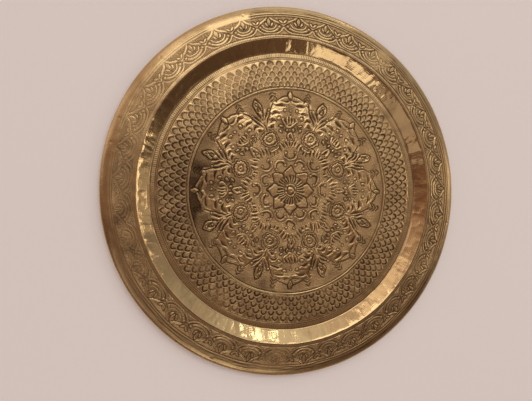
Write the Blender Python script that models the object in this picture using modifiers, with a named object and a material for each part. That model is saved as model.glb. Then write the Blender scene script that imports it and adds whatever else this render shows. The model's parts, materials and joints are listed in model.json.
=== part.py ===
"""A raised sheet-brass tray with a wired lip, and a ring behind its rim to hang it by.

The tray lies on its back with its open face up. The origin is the middle of the floor's underside, +Z points
out of the open face, and the hanging ring is under the rim at +Y. All lengths are in metres.
"""
import math

import bmesh
import bpy

# ---- the pan: radii and heights are those of the sheet's upper surface ----
SHEET = 0.0009
OUTER_RADIUS = 0.2500
FLOOR_TOP = SHEET
WALL_FOOT_RADIUS = 0.1907
WALL_TOP_RADIUS = 0.2069
RIM_TOP = 0.0125
WALL_BEND_RADIUS = 0.0025
BORDER_START_RADIUS = 0.2385
BORDER_DROOP = math.radians(25)
LIP_RADIUS = 0.0023
LIP_TURN = math.radians(285)
TURN_STEPS = 96

# ---- the wire inside the lip ----
RIM_WIRE_RADIUS = 0.0010
RIM_WIRE_SIDES = 8

# ---- the hanger ----
FIT_GAP = 0.0003
RING_WIRE_RADIUS = 0.00125
RING_RADIUS = 0.00975
RING_FLOOR_GAP = 0.0002
PIVOT_RADIUS = 0.2195
PIVOT_HEIGHT = 0.0096
SADDLE_SHEET = 0.0009
SADDLE_WIDTH = 0.0050
SADDLE_CHANNEL_RADIUS = 0.0019
SADDLE_BEND_RADIUS = 0.0009
SADDLE_REACH = 0.0080

# ---- finishes: name, colour, roughness ----
AGED_BRASS = ("aged_brass", (0.50, 0.33, 0.13, 1.0), 0.32)
HANGER_BRASS = ("hanger_brass", (0.56, 0.39, 0.17, 1.0), 0.38)
STEEL_WIRE = ("steel_wire", (0.42, 0.41, 0.40, 1.0), 0.45)


def new_collection(name):
    collection = bpy.data.collections.new(name)
    bpy.context.scene.collection.children.link(collection)
    return collection


def metal(name, colour, roughness):
    material = bpy.data.materials.new(name)
    material.use_nodes = True
    shader = material.node_tree.nodes["Principled BSDF"]
    shader.inputs["Base Color"].default_value = colour
    shader.inputs["Roughness"].default_value = roughness
    shader.inputs["Metallic"].default_value = 1.0
    material.diffuse_color = colour
    return material


def finish(piece, collection, material):
    """Put a piece in the tray's collection, give it its metal and shade its round faces smooth."""
    for home in list(piece.users_collection):
        home.objects.unlink(piece)
    collection.objects.link(piece)
    piece.data.materials.clear()
    piece.data.materials.append(material)
    piece.data.shade_smooth()
    piece.data.set_sharp_from_angle(angle=math.radians(40))


def bend(points, heading, radius, turn, steps):
    """Carry a line of (across, up) points on round an arc that turns left, or right where turn is negative."""
    side = math.copysign(1.0, turn)
    across, up = points[-1]
    centre_across = across - side * radius * math.sin(heading)
    centre_up = up + side * radius * math.cos(heading)
    for step in range(1, steps + 1):
        angle = heading + turn * step / steps
        points.append((centre_across + side * radius * math.sin(angle),
                       centre_up - side * radius * math.cos(angle)))


def mesh_from_line(name, points):
    """A bmesh chain of edges along (across, up) points, in the XZ plane."""
    work = bmesh.new()
    verts = [work.verts.new((across, 0.0, up)) for across, up in points]
    for first, second in zip(verts, verts[1:]):
        work.edges.new((first, second))
    mesh = bpy.data.meshes.new(name)
    work.to_mesh(mesh)
    work.free()
    return mesh


def thicken(piece, thickness):
    """Give an open sheet its thickness, on the side away from its normals."""
    solidify = piece.modifiers.new("sheet_thickness", "SOLIDIFY")
    solidify.thickness = thickness
    solidify.offset = -1.0
    solidify.use_even_offset = True


def lip_centre():
    """Radius and height of the middle of the rolled lip."""
    border_radius = (OUTER_RADIUS - LIP_RADIUS - BORDER_START_RADIUS) / math.sin(BORDER_DROOP) + LIP_RADIUS
    border_drop = border_radius * (1 - math.cos(BORDER_DROOP))
    return OUTER_RADIUS - LIP_RADIUS, RIM_TOP - border_drop - LIP_RADIUS * math.cos(BORDER_DROOP)


def pan_line():
    """The sheet's upper surface, from the axis over floor, wall, rim and border to the end of the lip."""
    slope = math.atan2(RIM_TOP - FLOOR_TOP, WALL_TOP_RADIUS - WALL_FOOT_RADIUS)
    tangent = WALL_BEND_RADIUS * math.tan(slope / 2)
    border_radius = (OUTER_RADIUS - LIP_RADIUS - BORDER_START_RADIUS) / math.sin(BORDER_DROOP) + LIP_RADIUS

    points = [(0.0, FLOOR_TOP), (WALL_FOOT_RADIUS - tangent, FLOOR_TOP)]
    bend(points, 0.0, WALL_BEND_RADIUS, slope, 2)
    points.append((WALL_TOP_RADIUS - tangent * math.cos(slope), RIM_TOP - tangent * math.sin(slope)))
    bend(points, slope, WALL_BEND_RADIUS, -slope, 2)
    points.append((BORDER_START_RADIUS, RIM_TOP))
    bend(points, 0.0, border_radius, -BORDER_DROOP, 3)
    bend(points, -BORDER_DROOP, LIP_RADIUS, -LIP_TURN, 10)
    return points


def make_pan(collection):
    """The sheet: one turned surface with a thickness. The lip stays a little open, so the wire can go in."""
    pan = bpy.data.objects.new("tray_pan", mesh_from_line("tray_pan", pan_line()))
    bpy.context.scene.collection.objects.link(pan)
    turn = pan.modifiers.new("turn", "SCREW")
    turn.steps = TURN_STEPS
    turn.render_steps = TURN_STEPS
    turn.use_merge_vertices = True
    turn.merge_threshold = 0.00001
    thicken(pan, SHEET)
    finish(pan, collection, metal(*AGED_BRASS))


def make_rim_wire(collection):
    """The steel wire that stiffens the lip, loose inside its roll."""
    radius, height = lip_centre()
    bpy.ops.mesh.primitive_torus_add(
        major_radius=radius, minor_radius=RIM_WIRE_RADIUS,
        major_segments=TURN_STEPS, minor_segments=RIM_WIRE_SIDES, location=(0.0, 0.0, height))
    wire = bpy.context.object
    wire.name = "rim_wire"
    finish(wire, collection, metal(*STEEL_WIRE))


def saddle_line():
    """One side of the bent strap: foot, bend down, round the ring's wire, bend out, foot."""
    foot_top = RIM_TOP - SHEET - FIT_GAP - PIVOT_HEIGHT
    outer_bend = SADDLE_BEND_RADIUS
    leg = SADDLE_CHANNEL_RADIUS
    quarter = math.pi / 2

    points = [(-SADDLE_REACH, foot_top), (-leg - outer_bend, foot_top)]
    bend(points, 0.0, outer_bend, -quarter, 3)
    points.append((-leg, 0.0))
    bend(points, -quarter, leg, 2 * quarter, 8)
    points.append((leg, foot_top - outer_bend))
    bend(points, quarter, outer_bend, -quarter, 3)
    points.append((SADDLE_REACH, foot_top))
    return points


def make_saddle(collection):
    """The strap soldered under the rim. Its feet lie along the tray's radius, and its channel holds the ring."""
    mesh = mesh_from_line("hanger_saddle", saddle_line())
    work = bmesh.new()
    work.from_mesh(mesh)
    strip = bmesh.ops.extrude_edge_only(work, edges=work.edges[:])
    moved = [item for item in strip["geom"] if isinstance(item, bmesh.types.BMVert)]
    bmesh.ops.translate(work, verts=moved, vec=(0.0, -SADDLE_WIDTH, 0.0))
    bmesh.ops.translate(work, verts=work.verts[:], vec=(0.0, SADDLE_WIDTH / 2, 0.0))
    work.to_mesh(mesh)
    work.free()

    saddle = bpy.data.objects.new("hanger_saddle", mesh)
    bpy.context.scene.collection.objects.link(saddle)
    saddle.location = (0.0, PIVOT_RADIUS, PIVOT_HEIGHT)
    saddle.rotation_euler = (0.0, 0.0, math.pi / 2)
    thicken(saddle, SADDLE_SHEET)
    finish(saddle, collection, metal(*HANGER_BRASS))


def make_ring(collection):
    """The hanging ring, drooping from its pivot until it almost reaches what the tray stands on."""
    reach = 2 * RING_RADIUS
    droop = math.asin((PIVOT_HEIGHT - RING_WIRE_RADIUS - RING_FLOOR_GAP) / reach)
    pivot = bpy.data.objects.new("hanger_pivot", None)
    collection.objects.link(pivot)
    pivot.location = (0.0, PIVOT_RADIUS, PIVOT_HEIGHT)
    pivot.rotation_euler = (-droop, 0.0, 0.0)
    pivot.empty_display_size = RING_RADIUS

    bpy.ops.mesh.primitive_torus_add(
        major_radius=RING_RADIUS, minor_radius=RING_WIRE_RADIUS, major_segments=36, minor_segments=10)
    ring = bpy.context.object
    ring.name = "hanger_ring"
    ring.parent = pivot
    ring.location = (0.0, RING_RADIUS, 0.0)
    finish(ring, collection, metal(*HANGER_BRASS))


def main():
    for leftover in list(bpy.data.objects):
        bpy.data.objects.remove(leftover, do_unlink=True)
    tray = new_collection("brass_tray")
    make_pan(tray)
    make_rim_wire(tray)
    make_saddle(tray)
    make_ring(tray)


main()
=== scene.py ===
import json
import math

import bmesh
import bpy
import numpy as np
from mathutils import Matrix, Vector


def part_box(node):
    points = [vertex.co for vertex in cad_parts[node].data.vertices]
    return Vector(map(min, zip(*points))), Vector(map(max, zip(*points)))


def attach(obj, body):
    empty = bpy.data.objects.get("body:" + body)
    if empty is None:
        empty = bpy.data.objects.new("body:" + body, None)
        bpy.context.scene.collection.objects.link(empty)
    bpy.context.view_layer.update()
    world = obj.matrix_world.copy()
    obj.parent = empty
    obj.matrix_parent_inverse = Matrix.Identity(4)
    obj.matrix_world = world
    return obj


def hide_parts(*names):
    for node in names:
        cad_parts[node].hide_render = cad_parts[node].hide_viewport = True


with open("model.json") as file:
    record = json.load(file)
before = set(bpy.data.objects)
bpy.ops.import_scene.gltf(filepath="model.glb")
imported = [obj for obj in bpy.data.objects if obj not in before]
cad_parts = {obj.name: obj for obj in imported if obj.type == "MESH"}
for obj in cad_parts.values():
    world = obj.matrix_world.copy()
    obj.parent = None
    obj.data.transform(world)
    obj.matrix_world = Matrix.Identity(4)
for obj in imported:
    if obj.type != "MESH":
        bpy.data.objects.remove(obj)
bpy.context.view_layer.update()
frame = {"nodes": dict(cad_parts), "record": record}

MM = 0.001

# ---- the hanger, from the frame, in metres ----
SADDLE_LOW, SADDLE_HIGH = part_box("hanger_saddle")
RING_LOW, RING_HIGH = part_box("hanger_ring")
PIVOT = Vector(frame["record"]["behaviour"]["joints"][0]["pos_m"])

# ---- the pan, from the frame: it is worked out in millimetres, and its mesh is built in metres ----
OUTER, _, RIM_TOP = np.array(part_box("tray_pan")[1]) / MM
LIP_HEIGHT = (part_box("rim_wire")[0][2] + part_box("rim_wire")[1][2]) / 2 / MM

# ---- the sheet, with radii as shares of the outer radius ----
SHEET = 0.9
DEEPEST = 0.7
LIP_RADIUS = 2.3
LIP_TURN = math.radians(285)
WALL_FOOT = 0.7628 * OUTER
WALL_TOP = 0.8276 * OUTER
WALL_BEND = 2.5
BORDER_START = 0.954 * OUTER
BORDER_DROOP = math.radians(25)
ROLL_START = BORDER_START + 4
ROLL_END = OUTER - 2.5

# ---- the chasing ----
MEDALLION_EDGE = 0.567 * OUTER
MEDALLION_SHIFT = (-1.2, 1.2)
SCALES_EDGE = 0.724 * OUTER
MILLED_INNER, MILLED_OUTER = 0.738 * OUTER, 0.757 * OUTER
DOTTED_INNER, DOTTED_OUTER = 0.833 * OUTER, 0.8435 * OUTER
BAND_INNER, BAND_CROSSING, BAND_OUTER = 0.846 * OUTER, 0.8845 * OUTER, 0.942 * OUTER
LOBES = 8
SCALE_ROWS = 5
SCALES_AROUND = 93
MOTIFS_AROUND = 37

# ---- what the pan's mesh tells its material about each point ----
LOOKS = ("recess", "figure", "stain", "polish", "inside")


# ---- noise and shapes ----
def wobble(x, y, length, seed):
    """Smooth noise of about unit height, made of waves that run in all directions."""
    draw = np.random.default_rng(seed)
    waves = 20
    total = np.zeros_like(x)
    for _ in range(waves):
        heading, phase = draw.uniform(0, 2 * math.pi, 2)
        pace = 2 * math.pi / (length * draw.uniform(0.6, 1.6))
        total += np.cos(pace * (x * math.cos(heading) + y * math.sin(heading)) + phase)
    return total * math.sqrt(2 / waves)


def scatter(column, row, seed):
    """A fixed pseudo-random number from 0 to 1 for each cell of a grid."""
    mixed = np.sin(column * 127.1 + row * 311.7 + seed * 74.7) * 43758.5453
    return mixed - np.floor(mixed)


def dents(s, t, columns, seed):
    """Shallow overlapping hammer marks on a unit grid that closes after the given number of columns."""
    column, row = np.floor(s), np.floor(t)
    nearest = np.full_like(s, 9)
    for step_s in (-1, 0, 1):
        for step_t in (-1, 0, 1):
            cell_s, cell_t = column + step_s, row + step_t
            wrapped = np.mod(cell_s, columns)
            centre_s = cell_s + 0.15 + 0.7 * scatter(wrapped, cell_t, seed)
            centre_t = cell_t + 0.15 + 0.7 * scatter(wrapped, cell_t, seed + 1)
            nearest = np.minimum(nearest, (s - centre_s) ** 2 + (t - centre_t) ** 2)
    return nearest


def hill(distance, half_width):
    """A soft bump: 1 in its middle, 0.37 at its half width and almost nothing at twice that."""
    return np.exp(-(distance / half_width) ** 2)


def dome(distance, radius):
    """A full round bump: 1 in its middle, and 0 from its radius on."""
    return np.sqrt(np.clip(1 - (distance / radius) ** 2, 0, 1))


def step_up(value, start, end):
    """From 0 at start to 1 at end, with soft corners."""
    share = np.clip((value - start) / (end - start), 0, 1)
    return share * share * (3 - 2 * share)


def window(value, opens, opened, closes, closed):
    """1 between opened and closes, and 0 outside opens and closed."""
    return step_up(value, opens, opened) * (1 - step_up(value, closes, closed))


def smooth(points):
    """A smooth line through given points (Catmull-Rom)."""
    parts = 6
    points = [np.array(point, float) for point in points]
    ends = [2 * points[0] - points[1]] + points + [2 * points[-1] - points[-2]]
    line = []
    for before, start, end, after in zip(ends, ends[1:], ends[2:], ends[3:]):
        for t in (part / parts for part in range(parts)):
            line.append(0.5 * (2 * start + (end - before) * t
                               + (2 * before - 5 * start + 4 * end - after) * t * t
                               + (3 * start - before - 3 * end + after) * t ** 3))
    return line + points[-1:]


def polar(radius, degrees):
    """A point given by its distance from the middle and its angle from the outward axis."""
    return radius * math.sin(math.radians(degrees)), radius * math.cos(math.radians(degrees))


def arc(centre, radius, start, end):
    """Points on a circle; angles in degrees, counted clockwise from outward."""
    spokes = [polar(radius, degrees) for degrees in np.linspace(start, end, 15)]
    return [(centre[0] + across, centre[1] + outward) for across, outward in spokes]


# ---- chasing tools ----
class Chasing:
    """Points of the sheet in a motif's own flat millimetres, and the relief the tools leave there.

    height is the relief in millimetres, recess says how far a spot keeps its dark patina, and figure is 1 on
    smooth raised work and 0 on the stippled ground. Each tool's work covers what was there before it.
    """

    def __init__(self, across, outward):
        self.across, self.outward = across, outward
        self.height = np.zeros_like(across)
        self.recess = np.zeros_like(across)
        self.figure = np.zeros_like(across)

    def cut(self, pick, share, depth, dark=1):
        """Sink the picked points towards a depth, and let patina gather there."""
        self.height[pick] = self.height[pick] * (1 - share) - depth * share
        self.recess[pick] = np.maximum(self.recess[pick], share * dark)
        self.figure[pick] *= 1 - share

    def raise_up(self, pick, share, height):
        """Lift the picked points to a height, clean and smooth."""
        self.height[pick] = self.height[pick] * (1 - share) + height * share
        self.recess[pick] *= 1 - share
        self.figure[pick] = np.maximum(self.figure[pick], share)

    def box(self, low, high):
        """Which points are inside a box."""
        return np.flatnonzero((self.across > low[0]) & (self.across < high[0])
                              & (self.outward > low[1]) & (self.outward < high[1]))

    def near(self, line, reach):
        """The points close to a line, their distances from it, and how far along it they are, from 0 to 1."""
        line = np.asarray(line, float)
        pick = self.box(line.min(0) - reach, line.max(0) + reach)
        across, outward = self.across[pick], self.outward[pick]
        nearest, along = np.full(len(pick), np.inf), np.zeros(len(pick))
        parts = len(line) - 1
        for number, (start, end) in enumerate(zip(line, line[1:])):
            run = end - start
            share = ((across - start[0]) * run[0] + (outward - start[1]) * run[1]) / max(run @ run, 1e-12)
            share = np.clip(share, 0, 1)
            gap = (across - start[0] - share * run[0]) ** 2 + (outward - start[1] - share * run[1]) ** 2
            along = np.where(gap < nearest, (number + share) / parts, along)
            nearest = np.minimum(gap, nearest)
        return pick, np.sqrt(nearest), along

    def around(self, centre, reach):
        """The points near a centre, with their distances and directions from it."""
        centre = np.asarray(centre, float)
        pick = self.box(centre - reach, centre + reach)
        across, outward = self.across[pick] - centre[0], self.outward[pick] - centre[1]
        return pick, np.hypot(across, outward), np.arctan2(across, outward)

    def groove(self, line, half_width, depth, dark=1):
        """A chased line of even width."""
        pick, distance, _ = self.near(line, 2.5 * half_width)
        self.cut(pick, hill(distance, half_width), depth, dark)

    def comma(self, line, half_width, depth=0.6):
        """A chased cut that is broad in the middle and thin at its ends."""
        pick, distance, along = self.near(line, 2.5 * half_width)
        width = half_width * (1 - 0.75 * (2 * along - 1) ** 2)
        self.cut(pick, hill(distance, width), depth)

    def ribbon(self, line, half_width, height, depth=0):
        """A raised round band, with a chased line along each side where depth is given."""
        pick, distance, _ = self.near(line, half_width + 2.6)
        if depth:
            self.cut(pick, hill(distance - half_width - 0.6, 0.8) * (distance > half_width), depth, 0.75)
        crown = dome(distance, 1.25 * half_width)
        self.raise_up(pick, step_up(crown, 0, 0.5), height * crown)

    def leaf(self, base, tip, half_width, height, bow=0, slit=0.9):
        """A domed leaf with a sunk outline and a slit along its middle; bow bends it to one side."""
        base, tip = np.array(base, float), np.array(tip, float)
        length = float(np.hypot(*(tip - base)))
        along = (tip - base) / length
        reach = half_width + abs(bow) + 2.4
        pick = self.box(np.minimum(base, tip) - reach, np.maximum(base, tip) + reach)
        across, outward = self.across[pick] - base[0], self.outward[pick] - base[1]
        t = (across * along[0] + outward * along[1]) / length
        inside = np.clip(t, 0, 1)
        side = np.abs(across * along[1] - outward * along[0] - bow * 4 * inside * (1 - inside))
        width = half_width * np.sin(math.pi * inside ** 1.15) ** 0.8
        gap = np.hypot(np.maximum(side - width, 0), length * (t - inside))
        self.cut(pick, hill(gap - 0.6, 0.9) * (gap > 0), 0.5)
        crown = dome(side, np.maximum(width, 0.01)) * step_up(width, 0, 0.8)
        self.raise_up(pick, step_up(crown, 0, 0.4) * (gap <= 0), height * crown)
        middle = slit * hill(side, max(0.3 * half_width, 0.7)) * (gap <= 0)
        self.cut(pick, middle * window(t, 0.1, 0.3, 0.68, 0.85), 0.25)

    def boss(self, centre, radius, height):
        """A small round bump with a sunk ring round it."""
        pick, distance, _ = self.around(centre, radius + 2)
        self.cut(pick, hill(distance - radius - 0.4, 0.7) * (distance > radius), 0.35, 0.8)
        crown = dome(distance, radius)
        self.raise_up(pick, step_up(crown, 0, 0.5), height * crown)

    def pit(self, centre, radius, depth):
        """A punched dot."""
        pick, distance, _ = self.around(centre, 2.5 * radius)
        self.cut(pick, hill(distance, radius), depth)

    def smooth_field(self, line, half_width, height):
        """A broad smooth patch raised off the ground along a line."""
        pick, distance, _ = self.near(line, half_width + 1.5)
        self.raise_up(pick, 1 - step_up(distance, half_width - 1, half_width + 0.6), height)


def rosette(work, radius, angle):
    """The middle: a boss, a ring of beads, a sunburst of chased strokes and eight smooth pointed petals."""
    strokes, beads = 26, 9
    on = np.flatnonzero(radius < 36)
    radius, angle = radius[on], angle[on]
    cell = math.pi / LOBES
    folded = np.abs(np.mod(angle + cell, 2 * cell) - cell)
    tip, notch = np.array((0, 34)), np.array(roundel_axis(0, 24.5))
    run = (notch - tip) / np.hypot(*(notch - tip))
    beyond = (work.across[on] - tip[0]) * -run[1] + (work.outward[on] - tip[1]) * run[0]
    beyond = np.where(radius > 17, beyond, -9)
    petal = 1 - step_up(beyond, -1.2, 0.2)
    tilt = np.clip((radius - 19) / 14, 0, 1)
    wedge = hill(radius * np.sin(cell - folded), 1 + 0.08 * (radius - 17))
    wedge = wedge * window(radius, 15, 19, 24.4, 25.8)
    stroke_angle = np.abs(np.mod(angle + math.pi / strokes, 2 * math.pi / strokes) - math.pi / strokes)
    stroke_end = 20.3 + 0.8 * np.cos(3 * angle)
    stroke = hill(stroke_angle * strokes / math.pi, 0.54 + 0.14 * step_up(radius, 9.5, 19))
    bead = hill(radius - 7.5, 1.1) * (0.5 + 0.5 * np.cos(beads * angle + 0.4)) ** 0.5
    hub = dome(radius, 4.9)

    work.cut(on, hill(beyond - 0.7, 1) * (radius > 22) * (radius < 35), 0.55)
    work.raise_up(on, petal, 0.1 + 0.62 * tilt)
    work.cut(on, wedge, 0.6)
    work.cut(on, stroke * window(radius, 9.2, 10.4, stroke_end - 0.8, stroke_end + 0.5), 0.68)
    work.cut(on, hill(radius - 8.9, 0.8), 0.35)
    work.raise_up(on, bead, 0.5)
    work.cut(on, hill(radius - 5.6, 0.9), 0.45)
    work.raise_up(on, step_up(hub, 0, 0.4), 0.55 * hub)
    work.cut(on, hill(radius, 1.1), 0.2, 0.7)


def roundel_axis(across, outward):
    """A point given in the roundel's own axes, half a lobe round from the lobe's axis."""
    turn = math.pi / LOBES
    return (across * math.cos(turn) + outward * math.sin(turn),
            -across * math.sin(turn) + outward * math.cos(turn))


def turned(points):
    """A line given in the roundel's own axes."""
    return [roundel_axis(*point) for point in points]


def both_sides(tool, points, *sizes):
    """Use a tool along a line on the left and on the right of the roundel's axis."""
    for side in (-1, 1):
        tool(turned([(side * across, outward) for across, outward in points]), *sizes)


def scrolls(work):
    """The wavy ring of open scrolls round the rosette, each with a ball at both ends."""
    work.groove(turned(arc((0, 36.2), 9.7, -100, 100)), 0.8, 0.35, 0.6)
    work.ribbon(turned(arc((0, 36.2), 7.7, -104, 104)), 1.15, 0.55)
    work.groove(turned(arc((0, 36.2), 5.7, -84, 84)), 1.05, 0.5)
    u_line = arc((0, 49.9), 8.5, 104, 256)
    hook = smooth([u_line[0], (7.9, 51.9), (6, 51.6)])
    work.groove(arc((0, 49.9), 10.5, 112, 248), 0.8, 0.35, 0.6)
    work.ribbon(u_line, 1.15, 0.55)
    work.ribbon(hook, 1.1, 0.55)
    work.groove(arc((0, 49.9), 6.5, 118, 180), 1, 0.5)
    for centre in turned([(-6.7, 34.2), (6.7, 34.2)]) + [(6, 51.4)]:
        work.boss(centre, 1.6, 0.6)
    work.pit((6.1, 47.8), 1.5, 0.55)
    branch = smooth([(-6.6, 60.6), (-3.4, 58.2), (0, 58.9), (3.4, 58.2), (6.6, 60.6)])
    work.ribbon(turned(branch), 1, 0.42, 0.35)
    both_sides(work.comma, [(1.6, 56.6), (2.6, 54.4), (3, 52.6)], 1)
    work.ribbon(turned([(0, 58), (0, 52)]), 0.9, 0.4)


def roundel(work, centre, radius):
    """A flower roundel: a pierced boss, a smooth disc and a ring of short scallops."""
    pick, distance, heading = work.around(centre, 1.4 * radius)
    scallops = 12
    wave = np.abs(np.sin(scallops * heading / 2 + 0.5))
    inner = 0.68 * radius + 0.11 * radius * wave
    outer = 0.9 * radius + 0.1 * radius * wave
    work.cut(pick, hill(distance - outer - 0.6, 0.85), 0.45, 0.8)
    lips = window(distance, inner + 0.2, inner + 1.2, outer - 0.6, outer + 0.3)
    work.raise_up(pick, lips * step_up(wave, 0.15, 0.5), 0.5)
    work.cut(pick, hill(distance - inner - 0.2, 1) * (distance > inner - 1.2), 0.6)
    work.raise_up(pick, 1 - step_up(distance, inner - 1.2, inner - 0.4), 0.38)
    work.cut(pick, hill(distance - 4.3, 0.9), 0.3, 0.8)
    hub = dome(distance, 3.3)
    work.raise_up(pick, step_up(hub, 0, 0.4), 0.25 + 0.4 * hub)
    work.cut(pick, hill(distance, 1.35), 0.5)


def inner_sprig(work):
    """The five-leaf sprig on the lobe's axis, between the scrolls and the tulip."""
    work.smooth_field([(0, 66), (0, 78)], 3.4, 0.3)
    work.groove(smooth([(4.4, 67.5), (4.7, 72.5), (3.7, 77), (1.9, 80.3), (0, 82)]), 0.95, 0.5)
    work.ribbon(smooth([(2.9, 69), (3, 73), (2.1, 76.5), (0, 79.2), (-2.1, 76.5)]), 1.35, 0.62)
    work.comma([(0, 71), (0, 76)], 1.3)
    work.boss((0, 68.8), 1.3, 0.45)
    work.comma(smooth([(1.3, 60.6), (2.3, 63.6), (2.6, 66.6)]), 1)
    for ridge, shadow in (
            ([(3, 59.6), (5.2, 63.6), (6.8, 67.6)], [(4.9, 60.6), (7.4, 64.4), (10, 67)]),
            ([(6.6, 59.2), (9.6, 63.4), (11.6, 68.8)], [(9, 57.4), (12, 61), (14.4, 64.6)]),
            ([(10.8, 54.6), (13.4, 58.4), (15.4, 62)], [(12.8, 53.6), (15.4, 56.8), (17.2, 60.2)])):
        work.ribbon(smooth(ridge), 1.2, 0.52)
        work.comma(smooth(shadow), 1.15)


def lobe(work):
    """Half of one garland lobe, with its acanthus tongues, tulip and sprigs; the fold mirrors it."""
    for line, half_width in (([(24, 119), (3, 120.5)], 2.8), ([(26.8, 112.2), (11, 113)], 3.6),
                             ([(28.4, 101.5), (14.5, 101)], 3.6), ([(30, 92), (23, 92.5)], 2.8),
                             ([(28, 118), (29.5, 104), (31.5, 88)], 1.8)):
        work.smooth_field(line, half_width, 0.34)
    outline = [(31.6, 85.5), (30.9, 91), (29.6, 98), (28.2, 104), (26.9, 109), (25.4, 114), (23.4, 118.6),
               (19.8, 121), (14.6, 123.8), (10, 125.9), (5.5, 127.6), (2, 129.6)]
    work.ribbon(smooth(outline), 1, 0.3)
    outline = [(33.8, 86), (33, 91), (31.5, 98), (30, 104), (28.7, 109), (27.3, 114), (25.2, 120),
               (21, 122.9), (15.5, 125.9), (11, 128.2), (6, 130.4), (3.4, 132.6), (2.4, 136)]
    work.groove(smooth(outline), 0.8, 0.4)
    work.leaf((0, 125), (0, 136), 2.8, 0.36, slit=0)
    tongues = (
        ([(23, 118.7), (18, 119.6), (11.5, 119.4), (7, 119.4), (3, 120.4)],
         [(21.8, 115), (17.5, 116.4), (13.5, 116.9), (9.6, 115.8)], 2.3),
        ([(27, 105.6), (22.5, 107.6), (18, 107.9), (15, 107.5), (12.5, 108.6), (9.5, 109.6)],
         [(26.2, 102.6), (22.5, 104.1), (18.6, 105), (15.2, 104.2)], 2.1),
        ([(29.3, 96.4), (27, 98), (23, 97.2), (19.5, 95.9), (17, 96), (15.6, 97.8)],
         [(28.8, 92), (26.2, 94), (23.2, 94.8), (19.4, 93.4)], 2.1),
        ([(31, 86.5), (28, 88.9), (24.5, 90.4), (22.3, 89.8), (21.3, 86.3)],
         [(28.6, 85.2), (26, 87.2), (23.6, 86.4)], 1.6))
    for ridge, shadow, half_width in tongues:
        work.ribbon(smooth(ridge), half_width, 0.5)
        work.comma(smooth(shadow), 1.6, 0.7)
    for tip in ((9.6, 109.6), (16, 97.8)):
        work.boss(tip, 2.3, 0.5)
    work.comma([(1.5, 123.4), (3.6, 122.4), (7, 121.9), (12.5, 122.2)], 1)
    work.pit((0, 124.2), 1.5, 0.5)

    work.ribbon(smooth([(9.2, 97), (8.6, 93.6), (5.6, 90), (0, 87.8), (-5.6, 90)]), 1.25, 0.55, 0.4)
    work.ribbon([(0, 91.8), (0, 101)], 1.1, 0.5)
    work.comma([(1.9, 92.5), (2.1, 96.5), (1.8, 101)], 1.15)
    work.ribbon(smooth([(3.4, 91.8), (4.6, 95.2), (3.8, 99)]), 1.1, 0.5)
    work.comma([(6.2, 92.4), (6.8, 95.6), (5.2, 99.8)], 1.1)
    work.pit((0, 103.6), 1.1, 0.45)
    work.boss((0, 109), 1.7, 0.35)
    for base, tip in (((4, 80.6), (4.2, 86.2)), ((11.4, 79.6), (15.4, 83.4)), ((10.6, 87.6), (16, 88.6))):
        work.leaf(base, tip, 1.5, 0.42, slit=0)
    for line in ([(6.6, 80.2), (7, 83.2), (6.4, 86)], [(9.2, 81), (10, 84.4), (13, 86.4)]):
        work.comma(smooth(line), 1)


def spray(work):
    """The spray outward of a roundel, on the roundel's axis: two pairs of curved leaves and a spade leaf."""
    work.comma(turned([(0, 88.5), (0, 96.5)]), 1.2)
    outline = [(1.9, 89.6), (2.2, 95), (5.6, 101.2), (9.4, 106.8), (12.9, 112.4)]
    both_sides(work.ribbon, smooth(outline), 1.2, 0.58)
    both_sides(work.comma, smooth([(3.4, 95.5), (7.4, 101), (11.6, 106.8), (14.4, 111)]), 1.35)
    both_sides(work.comma, smooth([(3.4, 102.4), (6.8, 107.6), (10.6, 111.8)]), 1.35)
    both_sides(work.ribbon, smooth([(0.9, 99), (2.6, 106), (5, 110), (8.4, 114.2)]), 1.15, 0.55)
    both_sides(work.comma, smooth([(1.2, 105.6), (2.6, 110), (6.8, 115)]), 1.1)
    for centre in turned([(-12.9, 112.4), (12.9, 112.4)]):
        work.boss(centre, 1.6, 0.6)
    work.pit(roundel_axis(0, 104.4), 1.1, 0.5)

    work.smooth_field(turned([(0, 114), (0, 125)]), 3.8, 0.32)
    outline = [(3.4, 112.6), (5.8, 118.5), (5.6, 123), (3.9, 127.6), (0, 131.6)]
    both_sides(work.groove, smooth(outline), 1, 0.55)
    both_sides(work.ribbon, smooth([(3.4, 115.8), (3.9, 120), (2.8, 124.4), (0, 128)]), 1.2, 0.5)
    both_sides(work.groove, smooth([(2.2, 115.4), (2.1, 119), (0, 122)]), 0.85, 0.5)
    work.boss(roundel_axis(0, 117), 1.3, 0.45)
    work.boss(roundel_axis(0, 125), 1.5, 0.55)


def edge_fern(work):
    """Nested chevrons that point outward, between each lobe's tip and the spray's."""
    turn = math.radians(90 / LOBES)
    for tip, arm in ((136.8, 5.6), (132.4, 7.2), (128, 6.6)):
        start = np.array(polar(tip, 90 / LOBES))
        for side in (-1, 1):
            heading = turn + math.radians(180 - side * 42)
            run = np.array((math.sin(heading), math.cos(heading)))
            work.groove([start + run * 0.16 * arm, start + run * arm], 0.8, 0.5)


def medallion(x, y):
    """The floor's chased flower, in eight mirrored lobes."""
    warp_x = 0.55 * wobble(x, y, 34, 11) + 0.38 * wobble(x, y, 13, 15)
    warp_y = 0.55 * wobble(x, y, 34, 12) + 0.38 * wobble(x, y, 13, 16)
    depth = np.clip(1 + 0.14 * wobble(x, y, 30, 13), 0.7, 1.25)
    x, y = x + warp_x, y + warp_y
    radius, angle = np.hypot(x, y), np.arctan2(x, y)
    cell = 2 * math.pi / LOBES
    folded = np.abs(np.mod(angle + cell / 2, cell) - cell / 2)
    work = Chasing(radius * np.sin(folded), radius * np.cos(folded))
    rosette(work, radius, angle)
    scrolls(work)
    inner_sprig(work)
    roundel(work, roundel_axis(0, 76), 12.4)
    lobe(work)
    spray(work)
    edge_fern(work)
    work.height *= depth * np.where(work.height < 0, 1.75, 1.32)
    work.height += 0.03 * wobble(x, y, 7, 14)
    return work


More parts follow.
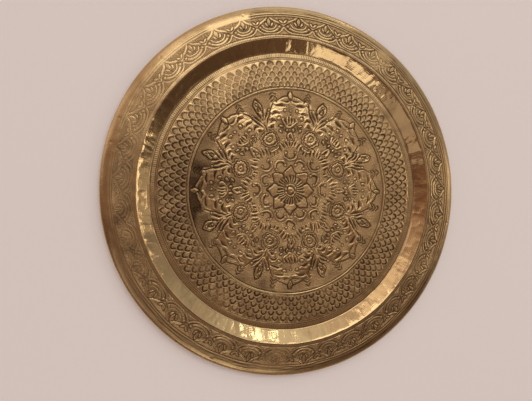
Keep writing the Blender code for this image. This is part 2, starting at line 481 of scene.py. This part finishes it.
# ---- bands ----
def scale_band(x, y):
    """Rows of struck fish scales, their pointed ends outward. Gives height, recess and figure."""
    radius = np.hypot(x, y) + 0.5 * wobble(x, y, 42, 21)
    turns = np.arctan2(x, y) / (2 * math.pi) + 0.0006 * wobble(x, y, 40, 22)
    inner, outer = MEDALLION_EDGE + 3.2, SCALES_EDGE
    pitch = (outer - inner - 1.5) / SCALE_ROWS
    height, recess, figure = np.zeros_like(x), np.zeros_like(x), np.ones_like(x)
    taken = np.zeros(len(x), bool)
    roundness = 1.75
    for row in range(-1, SCALE_ROWS):
        base = inner + (row + 0.18) * pitch
        half = math.pi * (base + 2) / SCALES_AROUND
        place = turns * SCALES_AROUND + (0.5 if row % 2 else 0)
        number = np.floor(place)
        side = (place - number - 0.5) * 2 * half
        up = radius - base
        strike = 0.7 + 0.6 * scatter(np.mod(number, SCALES_AROUND), row + 7, 5)
        over = np.maximum(up, 0) * half / (1.04 * pitch)
        reach = (np.abs(side) ** roundness + over ** roundness) ** (1 / roundness)
        inside = (reach < half) & (up > -0.75 * pitch) & ~taken
        taken |= inside
        edge = half - reach
        struck = strike * step_up(up, -3, 0)
        sunk = np.exp(-np.maximum(edge - 1.7, 0)) * step_up(edge, 0.5, 1.7) * struck
        thumb = np.exp(-(side ** 2 + (up - 2.4) ** 2) / 1.5 ** 2) * strike
        ridge = hill(edge - 0.3, 0.65) * struck
        height[inside] = (0.1 + 0.26 * ridge - 0.48 * sunk - 0.1 * thumb)[inside]
        figure[inside] = (0.42 + 0.58 * np.clip(1.4 * ridge, 0, 1))[inside]
        recess[inside] = np.clip(1.1 * hill(edge - 2, 1.05) * struck, 0, 1)[inside]
    fade = window(radius, inner - 2, inner - 0.8, outer - 0.8, outer + 0.4)
    return height * fade, recess * fade, 1 - (1 - figure) * fade


def rim_band(x, y):
    """The rim's band: pointed arches joined end to end, each over a bowl with balled ends and a bud."""
    radius = np.hypot(x, y) + 0.45 * wobble(x, y, 46, 31)
    turns = np.arctan2(x, y) / (2 * math.pi) + 0.0009 * wobble(x, y, 120, 32)
    place = turns * MOTIFS_AROUND - 0.15
    number = np.floor(place + 0.5)
    pitch = 2 * math.pi * BAND_CROSSING / MOTIFS_AROUND
    work = Chasing(np.abs((place - number) * pitch), radius - BAND_CROSSING)

    arch = [(19.6, -0.6), (18.8, 1.5), (17, 3.6), (14.6, 5.4), (11.3, 6.9), (7.6, 8.6), (5.2, 10.2),
            (3, 12.2), (1.4, 13.6), (-1, 14.4)]
    work.ribbon(smooth(arch), 1.1, 0.48, 0.36)
    work.groove(smooth([(17.2, 0.6), (15.2, 2.6), (12.2, 4)]), 0.8, 0.35)
    work.pit((0, 12.8), 1.2, 0.35)
    bowl = [(13.4, 0.4), (11.3, -1.8), (7.6, -4.1), (3.8, -5.3), (0, -5.6), (-3, -5.4)]
    work.ribbon(smooth(bowl), 1.05, 0.44, 0.34)
    work.boss(bowl[0], 1.6, 0.5)
    work.groove(smooth([(14.6, -2), (11.4, -4.8), (7.2, -7)]), 0.8, 0.3)
    work.ribbon(smooth([(18.2, -1.2), (14.2, -5.6), (8, -8), (0, -8.6), (-3, -8.5)]), 0.75, 0.26, 0.26)
    work.ribbon(smooth([(9.6, 3.4), (7.6, 0.2), (4.2, -1.6), (0, -2.2), (-2, -2.1)]), 0.7, 0.24, 0.26)
    work.leaf((0, 2.2), (0, 12.4), 2, 0.5, slit=0.5)
    work.leaf((1.6, 1.4), (5, 7.4), 1.2, 0.3, 0.6, slit=0)
    work.leaf((19, 4.2), (13.8, 9.2), 1.3, 0.26, slit=0)
    work.height *= 0.78 * np.clip(1 + 0.2 * wobble(x, y, 35, 33), 0.6, 1.3)
    return work


def ring_lines(radius):
    """Turned lines: each is a share of the outer radius, a half width and a height, negative for a cut."""
    height, recess = np.zeros_like(radius), np.zeros_like(radius)
    for share, half_width, lift in (
            (0.5594, 0.55, -0.4), (0.567, 0.85, 0.42), (0.5746, 0.55, -0.4),
            (0.7265, 0.5, -0.32), (0.73, 0.5, 0.22), (0.735, 0.5, -0.32), (0.7586, 0.5, -0.25),
            (0.831, 0.5, -0.22), (0.8445, 0.5, -0.3), (0.848, 0.6, 0.18),
            (0.9405, 0.6, -0.25), (0.9462, 0.8, 0.24), (0.9523, 0.7, -0.4), (0.9585, 0.8, 0.22),
            (0.964, 0.6, -0.2), (0.964, 0.5, -0.12), (0.97, 0.4, -0.1), (0.978, 0.5, -0.12)):
        shape = hill(radius - share * OUTER, half_width)
        height += lift * shape
        if lift < 0:
            recess = np.maximum(recess, shape)
    return height, recess


def milled(radius, turns, inner, outer, count):
    """A narrow band of short punched strokes. Gives height and recess."""
    inside = window(radius, inner, inner + 0.5, outer - 0.5, outer)
    number = np.floor(turns * count)
    strength = 0.55 + 0.6 * scatter(np.mod(number, count), 3, 9)
    stroke = (0.5 + 0.5 * np.cos(2 * math.pi * turns * count)) ** 2 * inside * strength
    return -0.26 * stroke, 0.7 * stroke


# ---- the whole face ----
def worn(x, y):
    """Where polishing and knocks have flattened the chasing, from 0 to 1."""
    radius, angle = np.hypot(x, y), np.degrees(np.arctan2(x, y))
    soft = step_up(wobble(x, y, 90, 41), 0.9, 2)
    rim_patch = window(angle, -31, -27, -15.5, -14.5) * step_up(radius, 226, 232)
    floor_patch = window(angle, -38, -33, -24, -19) * window(radius, 158, 166, 186, 190)
    right_patch = window(angle, 24, 30, 58, 64) * window(radius, 163, 171, 186, 190)
    left_rim = window(-angle, 10, 45, 100, 135) * (radius > 200)
    top_scales = window(angle, -75, -40, 15, 40) * (radius > 146) * (radius < 182)
    return np.clip(0.55 * soft + 0.95 * rim_patch + 0.5 * floor_patch + 0.4 * right_patch + 0.68 * left_rim
                   + 0.36 * top_scales, 0, 0.95)


def old_stains(x, y):
    """Painted dark reflection of the room, from 0 to 1, in four soft ovals, with brown stain blots on the
    wall.
    """
    # the ovals on the left floor, left rim, lower floor and right wall are painted dark reflection
    x, y = x + 9 * wobble(x, y, 60, 71), y + 9 * wobble(x, y, 60, 72)
    stain = 0.5 * step_up(wobble(x, y, 24, 74), 0.6, 1.6) * (np.abs(np.hypot(x, y) - 198) < 12)
    for share, middle_x, middle_y, half_x, half_y in (
            (1, -138, -8, 46, 88), (0.3, -40, -120, 95, 38), (0.75, -222, -8, 34, 120),
            (0.8, 199, 18, 9, 34)):
        stain += share * hill(np.hypot((x - middle_x) / half_x, (y - middle_y) / half_y), 1)
    return np.clip(stain + 0.14 * wobble(x, y, 40, 73), 0, 1)


def rubbed_spots(x, y):
    """Where the medallion has been rubbed brighter than the rest, from 0 to 1."""
    inside = 1 - step_up(np.hypot(x, y), MEDALLION_EDGE - 12, MEDALLION_EDGE)
    return 0.9 * step_up(wobble(x, y, 26, 75), 0.1, 1.1) * inside


def knocks(x, y):
    """Single dents and nicks: place round the tray in degrees, radius, size and depth."""
    height = np.zeros_like(x)
    for degrees, radius, size, depth in (
            (-6, 240.5, 1.8, 0.5), (207.5, 243, 2.4, 0.9), (284, 243.5, 1.6, 0.5), (291.5, 243, 1.3, 0.4),
            (313.5, 244, 1.6, 0.5), (310, 244.2, 1.1, 0.4), (-17, 241.5, 1.5, 0.4), (22.5, 243, 1.4, 0.4),
            (-26, 225.5, 2.4, 0.6), (101, 243.5, 2, 0.5), (63, 156, 4, 0.35)):
        centre_x, centre_y = polar(radius, degrees)
        height -= depth * hill(np.hypot(x - centre_x, y - centre_y), size)
    crease_x, crease_y, crease_turn = -61, 232, math.radians(-21)
    crease = np.abs((x - crease_x) * math.cos(crease_turn) + (y - crease_y) * math.sin(crease_turn))
    place = window(y, 224, 230, 240, 246) * hill(x - crease_x, 12)
    return height - 0.28 * hill(crease, 0.9) * place


def face_relief(x, y):
    """Relief, dark patina and smooth figures, each over the whole upper face."""
    radius, turns = np.hypot(x, y), np.arctan2(x, y) / (2 * math.pi)
    height, recess, figure = np.zeros_like(x), np.zeros_like(x), np.ones_like(x)

    on = np.flatnonzero(radius < MEDALLION_EDGE - 1.5)
    work = medallion(x[on] - MEDALLION_SHIFT[0], y[on] - MEDALLION_SHIFT[1])
    fade = 1 - step_up(radius[on], MEDALLION_EDGE - 5, MEDALLION_EDGE - 2)
    height[on], recess[on], figure[on] = work.height * fade, work.recess * fade, work.figure

    on = np.flatnonzero((radius > MEDALLION_EDGE + 0.5) & (radius < SCALES_EDGE + 2))
    height[on], recess[on], figure[on] = scale_band(x[on], y[on])

    on = np.flatnonzero((radius > BAND_INNER - 2) & (radius < BAND_OUTER + 1))
    work = rim_band(x[on], y[on])
    fade = window(radius[on], BAND_INNER - 0.5, BAND_INNER + 0.8, BAND_OUTER - 0.8, BAND_OUTER + 0.2)
    height[on], recess[on] = work.height * fade, work.recess * fade
    figure[on] = np.clip(0.3 + 0.7 * work.figure + 1 - fade, 0, 1)

    drift = radius + 0.25 * wobble(x, y, 60, 51)
    lines, dark = ring_lines(drift)
    for inner, outer, count in ((MILLED_INNER, MILLED_OUTER, 460), (DOTTED_INNER, DOTTED_OUTER, 560)):
        strokes, marks = milled(drift, turns, inner, outer, count)
        lines += strokes
        dark = np.maximum(dark, marks)
    kept = 1 - worn(x, y) * np.where(radius < MEDALLION_EDGE, 0.4, 1)
    return (height + lines) * kept + knocks(x, y), np.maximum(recess, dark) * kept, figure


def sheet_unevenness(x, y, on_wall):
    """Hand-worked sheet: long soft waves all over, and planishing marks on the wall."""
    radius, turns = np.hypot(x, y), np.arctan2(x, y) / (2 * math.pi)
    waves = 0.16 * wobble(x, y, 85, 61) + 0.035 * wobble(x, y, 22, 62)
    dent_rise, wall_middle = 11, 200
    broad, fine = 104, 290
    up_wall = (radius - WALL_FOOT) / dent_rise
    marks = dents(turns * broad + 0.12 * wobble(x, y, 30, 63), up_wall, broad, 17)
    streaks = dents(turns * fine + 0.15 * wobble(x, y, 18, 64), 0.9 * up_wall, fine, 18)
    round_wall = 2 * math.pi * turns
    folds = np.abs(wobble(wall_middle * np.sin(round_wall), wall_middle * np.cos(round_wall), 44, 65))
    ripple = wobble(x, y, 9, 66) * step_up(wobble(x, y, 50, 67), -0.2, 1.2)
    return waves + on_wall * (0.42 * marks + 0.1 * streaks + 0.2 * folds + 0.045 * ripple)


# ---- building the pan ----
def bend(points, heading, radius, turn, steps):
    """Carry a line of (radius, height) points on round an arc that turns left, or right where negative."""
    side = math.copysign(1, turn)
    across, up = points[-1]
    centre_across = across - side * radius * math.sin(heading)
    centre_up = up + side * radius * math.cos(heading)
    for step in range(1, steps + 1):
        angle = heading + turn * step / steps
        points.append((centre_across + side * radius * math.sin(angle),
                       centre_up - side * radius * math.cos(angle)))


def run_to(points, across, up, step):
    """Carry a line on straight, in equal steps of about the given length."""
    start_across, start_up = points[-1]
    steps = max(1, round(math.hypot(across - start_across, up - start_up) / step))
    for share in (part / steps for part in range(1, steps + 1)):
        points.append((start_across + (across - start_across) * share, start_up + (up - start_up) * share))


def upper_line(fine, coarse, lip_steps):
    """The sheet's upper surface from the axis to the end of the rolled lip, in fine or coarse steps."""
    slope = math.atan2(RIM_TOP - SHEET, WALL_TOP - WALL_FOOT)
    tangent = WALL_BEND * math.tan(slope / 2)
    border_radius = (OUTER - LIP_RADIUS - BORDER_START) / math.sin(BORDER_DROOP) + LIP_RADIUS
    points = [(fine, SHEET)]
    run_to(points, WALL_FOOT - tangent, SHEET, fine)
    bend(points, 0, WALL_BEND, slope, 4)
    run_to(points, WALL_TOP - tangent * math.cos(slope), RIM_TOP - tangent * math.sin(slope), coarse)
    bend(points, slope, WALL_BEND, -slope, 4)
    run_to(points, BORDER_START, RIM_TOP, fine)
    bend(points, 0, border_radius, -BORDER_DROOP, max(4, round(BORDER_DROOP * border_radius / coarse)))
    bend(points, -BORDER_DROOP, LIP_RADIUS, -LIP_TURN, lip_steps)
    return np.array(points)


def line_normals(line):
    """Unit normals on the left of a (radius, height) line, which is the sheet's upper side."""
    run = np.gradient(line, axis=0)
    run /= np.hypot(run[:, 0], run[:, 1])[:, None]
    return np.stack((-run[:, 1], run[:, 0]), 1)


def ring_count(radius):
    """How many points a ring gets: fewer near the middle, where they crowd."""
    for limit, count in ((12, 256), (38, 512), (84, 1024)):
        if radius < limit:
            return count
    return 2048


def ring_angles(count):
    """Evenly spaced angles of one full turn."""
    return 2 * math.pi * np.arange(count) / count


def ring_points(radius, height, normal, count, lift):
    """One ring of points, moved along the line's normal by lift, which may differ round the ring."""
    angle = ring_angles(count)
    across = radius + normal[0] * lift
    return np.stack((across * np.sin(angle), across * np.cos(angle), height + normal[1] * lift), 1)


def wall_share(radius):
    """1 on the wall and 0 on the floor and rim."""
    return window(radius, WALL_FOOT - 0.5, WALL_FOOT + 2, WALL_TOP - 2.5, WALL_TOP + 0.5)


class RingMesh:
    """Rings of points round the tray's axis, joined into one closed skin."""

    def __init__(self):
        self.rings, self.points, self.quads, self.triangles = [], [], [], []
        self.looks = {look: [] for look in LOOKS}

    def add_ring(self, points, **looks):
        """Add one ring; each look is a number or one number per point, and 0 where it is not given."""
        self.rings.append((len(self.points), len(points)))
        self.points.extend(points * MM)
        for look, values in self.looks.items():
            values.extend(np.zeros(len(points)) + looks.get(look, 0))

    def join(self, first, second):
        """Faces between two rings, of the same count or with one twice as fine as the other."""
        (start_a, count_a), (start_b, count_b) = first, second
        if count_a == count_b:
            here = np.arange(count_a)
            after = np.roll(here, -1)
            self.quads.extend(zip(start_a + here, start_a + after, start_b + after, start_b + here))
        elif count_a < count_b:
            self.fan(start_a, start_b, count_a, False)
        else:
            self.fan(start_b, start_a, count_b, True)

    def fan(self, coarse, fine, count, flip):
        """Three triangles for each step of the coarse ring."""
        here = np.arange(count)
        after = np.roll(here, -1)
        middle = fine + 2 * here + 1
        for corners in ((coarse + here, middle, fine + 2 * here), (coarse + here, coarse + after, middle),
                        (coarse + after, fine + 2 * after, middle)):
            self.triangles.extend(zip(*corners[::-1 if flip else 1]))

    def cap(self, ring, height, flip, **looks):
        """Close the middle with triangles round one point on the axis."""
        start, count = ring
        here = start + np.arange(count)
        corners = (np.full(count, len(self.points)), np.roll(here, -1), here)
        self.triangles.extend(zip(*corners[::-1 if flip else 1]))
        self.add_ring(np.array([(0, 0, height)]), **looks)

    def build(self, name):
        """The mesh, in metres, with a number for each look at each point."""
        mesh = bpy.data.meshes.new(name)
        mesh.from_pydata(self.points, [], self.quads + self.triangles)
        for look, values in self.looks.items():
            mesh.attributes.new(look, "FLOAT", "POINT").data.foreach_set("value", values)
        mesh.shade_smooth()
        return mesh


def add_upper_face(skin):
    """The chased, hammered and stained face, from the middle out over the lip and round into its roll."""
    line = upper_line(0.56, 1.1, 22)
    normals = line_normals(line)
    counts = [ring_count(radius) for radius, _ in line]
    radii = np.repeat(line[:, 0], counts)
    angles = np.concatenate([ring_angles(count) for count in counts])
    x, y = radii * np.sin(angles), radii * np.cos(angles)
    relief, recess, figure = face_relief(x, y)
    on_wall = wall_share(radii)
    uneven = sheet_unevenness(x, y, on_wall)
    # brown stain blots, together with painted dark reflection of the room on the left, at the bottom and on
    # the right wall
    stain = old_stains(x, y)
    polish = np.maximum(on_wall, rubbed_spots(x, y) * (1 - step_up(stain, 0.1, 0.6)))

    over_the_lip = np.cumsum(normals[:, 1] < 0.3) > 0
    place = 0
    for (radius, height), normal, count, rolled_over in zip(line, normals, counts, over_the_lip):
        rolled = 1 if rolled_over else step_up(radius, ROLL_START, ROLL_END)
        part = slice(place, place + count)
        lift = relief[part] * (1 - rolled) + uneven[part] * (1 - 0.9 * rolled)
        lift = np.where(lift < 0, DEEPEST * np.tanh(lift / DEEPEST), lift)
        skin.add_ring(ring_points(radius, height, normal, count, lift), recess=recess[part] * (1 - rolled),
                      figure=figure[part], stain=stain[part], polish=polish[part],
                      inside=float(rolled_over and height < LIP_HEIGHT))
        place += count


def add_underside(skin):
    """The sheet's back, from the roll to the middle. It echoes the chasing, but the floor lies flat."""
    line = upper_line(1.7, 2.2, 14)[::-1]
    for (radius, height), normal in zip(line, -line_normals(line)):
        count = min(1024, ring_count(radius))
        angle = ring_angles(count)
        x, y = radius * np.sin(angle), radius * np.cos(angle)
        in_roll = radius > ROLL_START or height < 0.5 * SHEET
        lift = sheet_unevenness(x, y, wall_share(radius)) * (0.1 if in_roll else 1)
        if not in_roll:
            lift += 0.55 * face_relief(x, y)[0]
        off_floor = step_up(radius, WALL_FOOT - 2, WALL_FOOT + 4)
        lift = np.maximum(lift, 0) * (1 - off_floor) + lift * off_floor
        points = ring_points(radius, height, normal, count, lift - SHEET)
        points[:, 2] = np.maximum(points[:, 2], 0)
        skin.add_ring(points, figure=1, inside=1)


def make_pan():
    """The sheet as it really is: chased face, rolled lip and underside, in one closed skin."""
    skin = RingMesh()
    add_upper_face(skin)
    add_underside(skin)
    for first, second in zip(skin.rings, skin.rings[1:]):
        skin.join(first, second)
    first_ring, last_ring = skin.rings[0], skin.rings[-1]
    skin.cap(first_ring, SHEET + 0.5, False, figure=1)
    skin.cap(last_ring, 0, True, figure=1, inside=1)
    return skin.build("tray_sheet")


# ---- materials ----
BRIGHT_BRASS = (0.72, 0.51, 0.26)
OLD_BRASS = (0.44, 0.275, 0.137)
# dark brown: patina in hollows, and also the colour of the painted dark reflection of the room
PATINA_AND_PAINTED_REFLECTION = (0.06, 0.032, 0.017)


class Signal:
    """The output of a node. Arithmetic on it adds math nodes."""

    def __init__(self, nodes, socket):
        self.nodes, self.socket = nodes, socket

    def math(self, operation, first, second):
        node = self.nodes.add("Math", operation=operation)
        self.nodes.feed(node.inputs[0], first)
        self.nodes.feed(node.inputs[1], second)
        return Signal(self.nodes, node.outputs[0])

    def __add__(self, other):
        return self.math("ADD", self, other)

    def __mul__(self, other):
        return self.math("MULTIPLY", self, other)

    def __rsub__(self, other):
        return self.math("SUBTRACT", other, self)

    __radd__ = __add__
    __rmul__ = __mul__


class Nodes:
    """The node tree of a material or of the world, with short ways to add what is needed here."""

    def __init__(self, owner, shader="Principled BSDF", place="Object"):
        owner.use_nodes = True
        self.owner, self.tree = owner, owner.node_tree
        self.shader = self.tree.nodes[shader]
        self.place = self.signal("TexCoord", place)

    def feed(self, socket, value):
        """Give an input a number, a colour or a signal."""
        if isinstance(value, Signal):
            self.tree.links.new(value.socket, socket)
        else:
            socket.default_value = (*value, 1) if isinstance(value, tuple) else value

    def set(self, node, **values):
        """Feed a node's inputs, whose names have _ for a space, and set its options."""
        for name, value in values.items():
            socket = node.inputs.get(name.replace("_", " "))
            if socket is None:
                setattr(node, name, value)
            else:
                self.feed(socket, value)
        return node

    def add(self, kind, **values):
        return self.set(self.tree.nodes.new("ShaderNode" + kind), **values)

    def signal(self, kind, output, **values):
        """Add a node, and give one of its outputs."""
        return Signal(self, self.add(kind, **values).outputs[output])

    def noise(self, scale, detail):
        return self.signal("TexNoise", 0, Vector=self.place, Scale=scale, Detail=detail)

    def ramp(self, value, stops):
        """Colours that follow a value: each stop is a place and a colour."""
        node = self.add("ValToRGB", Fac=value)
        elements = node.color_ramp.elements
        while len(elements) < len(stops):
            elements.new(0.5)
        for element, (place, colour) in zip(elements, stops):
            element.position = place
            element.color = (*colour, 1)
        return Signal(self, node.outputs[0])

    def rise(self, value, start, end, top=1):
        """From 0 at start to top at end."""
        return self.ramp(value, ((start, (0, 0, 0)), (end, (top, top, top))))

    def between(self, value, start, end, low, high):
        """From low at start to high at end."""
        return self.signal("MapRange", 0, Value=value, From_Min=start, From_Max=end, To_Min=low, To_Max=high)

    def mix(self, share, first, second, blend_type="MIX"):
        node = self.add("Mix", data_type="RGBA", blend_type=blend_type)
        for slot, value in ((0, share), (6, first), (7, second)):
            self.feed(node.inputs[slot], value)
        return Signal(self, node.outputs[2])

    def bump(self, height, distance, strength, **below):
        return self.signal("Bump", 0, Height=height, Distance=distance, Strength=strength, **below)


def aged_brass():
    """The pan: polished brass, brown in clouds and recesses, with stippled ground and turned scratches."""
    nodes = Nodes(bpy.data.materials.new("aged_brass_sheet"))
    recess, figure, stain, polish, inside = (
        nodes.signal("Attribute", "Fac", attribute_name=look) for look in LOOKS)
    clouds = nodes.noise(22, 5)
    specks = nodes.noise(260, 3)
    blotches = 0.55 * nodes.rise(clouds, 0.36, 0.66)
    grain = nodes.rise(nodes.noise(800, 2), 0.4, 0.62, 0.45)
    colour = nodes.mix(clouds.math("MAXIMUM", blotches, grain), BRIGHT_BRASS, OLD_BRASS)
    ground = 0.54 * (1 - figure)
    colour = nodes.mix(ground, colour, OLD_BRASS)
    # painted dark reflection of the room, with brown stain blots, darker still on the stippled ground
    colour = nodes.mix(stain * (0.35 + 1.1 * ground), colour, PATINA_AND_PAINTED_REFLECTION)
    dirt = recess * (0.74 + 0.5 * specks)
    colour = nodes.mix(dirt.math("MINIMUM", dirt, 0.94), colour, PATINA_AND_PAINTED_REFLECTION)
    colour = nodes.mix(0.45 * inside, colour, OLD_BRASS)
    colour = nodes.mix(0.3 * (polish * (1 - recess)), colour, BRIGHT_BRASS)
    rough = (0.2 + 0.14 * clouds + 0.22 * dirt + 0.22 * ground) * (1 - 0.45 * polish)

    punches = nodes.signal("TexVoronoi", "Distance", Vector=nodes.place, Scale=900)
    normal = nodes.bump(punches * (1 - figure), 0.0008, 0.75)
    turned = nodes.signal("TexWave", "Fac", wave_type="RINGS", rings_direction="Z",
                          Vector=nodes.place, Scale=160, Distortion=1.5)
    normal = nodes.bump(turned, 0.00003, 0.5, Normal=normal)
    normal = nodes.bump(specks, 0.00018, 0.5, Normal=normal)
    nodes.set(nodes.shader, Base_Color=colour, Metallic=1, Roughness=rough, Normal=normal)
    return nodes.owner


def plain_metal(name, bright, dull, rough, grain):
    """Drawn wire or strap: two tones in clouds, with a fine grain."""
    nodes = Nodes(bpy.data.materials.new(name))
    clouds = nodes.noise(120, 4)
    nodes.set(nodes.shader, Base_Color=nodes.mix(nodes.rise(clouds, 0.35, 0.7), bright, dull), Metallic=1,
              Roughness=rough + 0.2 * clouds, Normal=nodes.bump(nodes.noise(grain, 3), 0.0001, 0.5))
    return nodes.owner


def painted_wall():
    """The plain pale surface behind the tray, with faint roller texture."""
    nodes = Nodes(bpy.data.materials.new("pale_paint"))
    tone = nodes.mix(nodes.noise(3, 2), (0.94, 0.878, 0.88), (0.97, 0.905, 0.907))
    nodes.set(nodes.shader, Base_Color=tone, Roughness=0.85, Emission_Color=(1, 0.95, 0.93),
              Emission_Strength=0.11, Normal=nodes.bump(nodes.noise(220, 3), 0.0006, 0.25))
    return nodes.owner


# ---- hanger ----
def join_rows(skin, rows):
    """Faces between each closed row of vertices and the next."""
    for row, following in zip(rows, rows[1:]):
        for here in range(len(row)):
            after = (here + 1) % len(row)
            skin.faces.new((row[here], row[after], following[after], following[here]))


def to_mesh(skin, name):
    """Close off a bmesh as a new mesh, with its faces turned outward."""
    bmesh.ops.recalc_face_normals(skin, faces=skin.faces)
    mesh = bpy.data.meshes.new(name)
    skin.to_mesh(mesh)
    skin.free()
    return mesh


def make_ring():
    """The hanging ring: round wire, its ends butted and soldered, which makes a slight swelling."""
    centre = (Vector(RING_LOW) + Vector(RING_HIGH)) / 2
    radius = (centre - PIVOT).length
    wire = (RING_HIGH[0] - RING_LOW[0]) / 2 - radius
    droop = Matrix.Rotation(math.atan2(centre.z - PIVOT.z, centre.y - PIVOT.y), 3, "X")
    around, section = 96, 20
    seam_degrees, seam_width = 205, 5
    skin = bmesh.new()
    rows = []
    for angle in ring_angles(around):
        thick = wire * (1 + 0.1 * hill(math.degrees(angle) - seam_degrees, seam_width))
        row = []
        for turn in ring_angles(section):
            reach = radius + thick * math.cos(turn)
            point = Vector((reach * math.sin(angle), reach * math.cos(angle), thick * math.sin(turn)))
            row.append(skin.verts.new(centre + droop @ point))
        rows.append(row)
    join_rows(skin, rows + rows[:1])
    return to_mesh(skin, "ring_wire")


def make_saddle():
    """The bent strap, its sheared edges filed a little round."""
    skin = bmesh.new()
    skin.from_mesh(frame["nodes"]["hanger_saddle"].data)
    bmesh.ops.remove_doubles(skin, verts=skin.verts, dist=0.01 * MM)
    sharp = [edge for edge in skin.edges if edge.calc_face_angle(0) > math.radians(60)]
    bmesh.ops.bevel(skin, geom=sharp, offset=0.18 * MM, segments=2, profile=0.5, affect="EDGES")
    return to_mesh(skin, "saddle_strap")


def make_solder():
    """Two low pools of solder, which hold the strap's feet to the underside of the rim."""
    half_x, half_y, thick = 3.8 * MM, 3.9 * MM, 0.8 * MM
    from_end, sunk = 2.4 * MM, 0.15 * MM
    rings, around = 6, 40
    skin = bmesh.new()
    for side, foot in ((-1, SADDLE_LOW[1] + from_end), (1, SADDLE_HIGH[1] - from_end)):
        centre = Vector((0, foot, (RIM_TOP - SHEET) * MM + sunk))
        rows = []
        for tilt in 0.5 * math.pi * np.arange(rings) / rings:
            row = []
            for angle in ring_angles(around):
                edge = 1 + 0.06 * math.sin(3 * angle + side) + 0.04 * math.sin(7 * angle + 2 * side)
                across = half_x * edge * math.cos(tilt) * math.sin(angle)
                along = half_y * edge * math.cos(tilt) * math.cos(angle)
                row.append(skin.verts.new(centre + Vector((across, along, -thick * math.sin(tilt)))))
            rows.append(row)
        skin.faces.new(rows[0])
        skin.faces.new(rows[-1][::-1])
        join_rows(skin, rows)
    return to_mesh(skin, "solder_pools")


# ---- assemble ----
def add_object(name, mesh, material):
    piece = bpy.data.objects.new(name, mesh)
    bpy.context.scene.collection.objects.link(piece)
    mesh.materials.append(material)
    return piece


pan = add_object("tray_sheet", make_pan(), aged_brass())
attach(pan, "tray")
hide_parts("tray_pan")

hanger_metal = plain_metal("hanger_brass_aged", (0.62, 0.44, 0.2), (0.34, 0.22, 0.11), 0.3, 900)
ring = add_object("hanging_ring", make_ring(), hanger_metal)
ring.data.shade_smooth()
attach(ring, "ring")
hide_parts("hanger_ring")

saddle = add_object("saddle_strap", make_saddle(), hanger_metal)
saddle.data.set_sharp_from_angle(angle=math.radians(40))
saddle.data.shade_smooth()
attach(saddle, "tray")
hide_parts("hanger_saddle")

old_solder = plain_metal("old_solder", (0.42, 0.4, 0.36), (0.22, 0.19, 0.15), 0.42, 700)
solder = add_object("solder_pools", make_solder(), old_solder)
solder.data.shade_smooth()
solder.data.set_sharp_from_angle(angle=math.radians(50))
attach(solder, "tray")

drawn_steel = plain_metal("steel_wire_drawn", (0.5, 0.49, 0.47), (0.3, 0.27, 0.24), 0.35, 1200)
frame["nodes"]["rim_wire"].material_slots[0].material = drawn_steel

# ---- stage, lights and camera ----
bpy.ops.mesh.primitive_plane_add(size=40, location=(0, 0, 0))
floor = bpy.context.object
floor.name = "pale_floor"
floor.data.materials.append(painted_wall())


def soft_light(name, place, size, power, colour):
    """A rectangular soft light that faces the tray's middle."""
    lamp = bpy.data.lights.new(name, "AREA")
    lamp.shape = "RECTANGLE"
    lamp.size, lamp.size_y = size
    lamp.energy = power
    lamp.color = colour
    light = bpy.data.objects.new(name, lamp)
    light.location = place
    light.rotation_euler = (-Vector(place)).to_track_quat("-Z", "Y").to_euler()
    bpy.context.scene.collection.objects.link(light)


soft_light("key_from_top", (0.27, 1.1, 2.15), (1.5, 0.9), 6.4, (0.98, 1, 0.95))
soft_light("glow_top_left", (-0.9, 1.7, 2), (1.2, 0.7), 1.5, (1, 0.98, 0.88))
soft_light("window_left", (-2, 0.9, 1.5), (1.3, 1.3), 2, (1, 0.98, 0.95))
soft_light("fill_lower_left", (-1.15, -1.1, 1.9), (1.1, 1.1), 1.5, (1, 0.95, 0.9))
soft_light("lamp_below", (-0.05, -1.45, 1.35), (0.9, 0.6), 2.3, (1, 0.96, 0.86))
soft_light("lamp_right", (2.2, 0.05, 1.45), (0.7, 0.7), 3.6, (1, 0.92, 0.8))
soft_light("bulb_upper_right", (1.2, 1.75, 1.25), (0.22, 0.22), 0.9, (1, 0.97, 0.86))
soft_light("glow_right", (2.2, 0.1, 0.85), (0.7, 0.8), 0.5, (1, 0.9, 0.75))


def room_light():
    """The room's own light: bright above, redder on the left, dim on the right, pale low down."""
    nodes = Nodes(bpy.data.worlds.new("room"), "Background", "Generated")
    bpy.context.scene.world = nodes.owner
    x, y, z = (Signal(nodes, part) for part in nodes.add("SeparateXYZ", Vector=nodes.place).outputs)
    stops = []
    for height, level in ((0, 0.1), (0.3, 0.12), (0.42, 0.175), (0.5, 0.25), (0.56, 0.37), (0.64, 0.5),
                          (0.8, 0.6), (1, 0.64)):
        warmth = 0.64 - level
        stops.append((height, (level, (0.995 - 0.7 * warmth) * level, (0.95 - 0.94 * warmth) * level)))
    sky = nodes.ramp(nodes.between(y, -1, 1, 0, 1), stops)
    sky = nodes.mix(nodes.between(x, -0.2, 0.25, 1, 0), sky, (0.68, 0.53, 0.48), "MULTIPLY")
    sky = nodes.mix(nodes.between(z, 0.22, 0.31, 1, 0), sky, (0.46, 0.43, 0.39))
    nodes.set(nodes.shader, Color=sky, Strength=nodes.between(x, 0.35, 0.85, 1.36, 0.7))


room_light()

# the camera's lens in sensor widths, and its place in outer radii from the middle of the lip's plane
SENSOR_WIDTH = 36
CAMERA_LENS = 0.8818
CAMERA_PLACE = Vector((-0.8055, -0.051, 2.4342))
CAMERA_TURN = math.radians(-15.03)
camera_data = bpy.data.cameras.new("camera")
camera_data.sensor_width = SENSOR_WIDTH
camera_data.lens = CAMERA_LENS * SENSOR_WIDTH
camera = bpy.data.objects.new("camera", camera_data)
camera.location = (CAMERA_PLACE * OUTER + Vector((0, 0, LIP_HEIGHT))) * MM
camera.rotation_euler = (0, CAMERA_TURN, 0)
bpy.context.scene.collection.objects.link(camera)
bpy.context.scene.camera = camera
bpy.context.scene.view_settings.view_transform = "Standard"
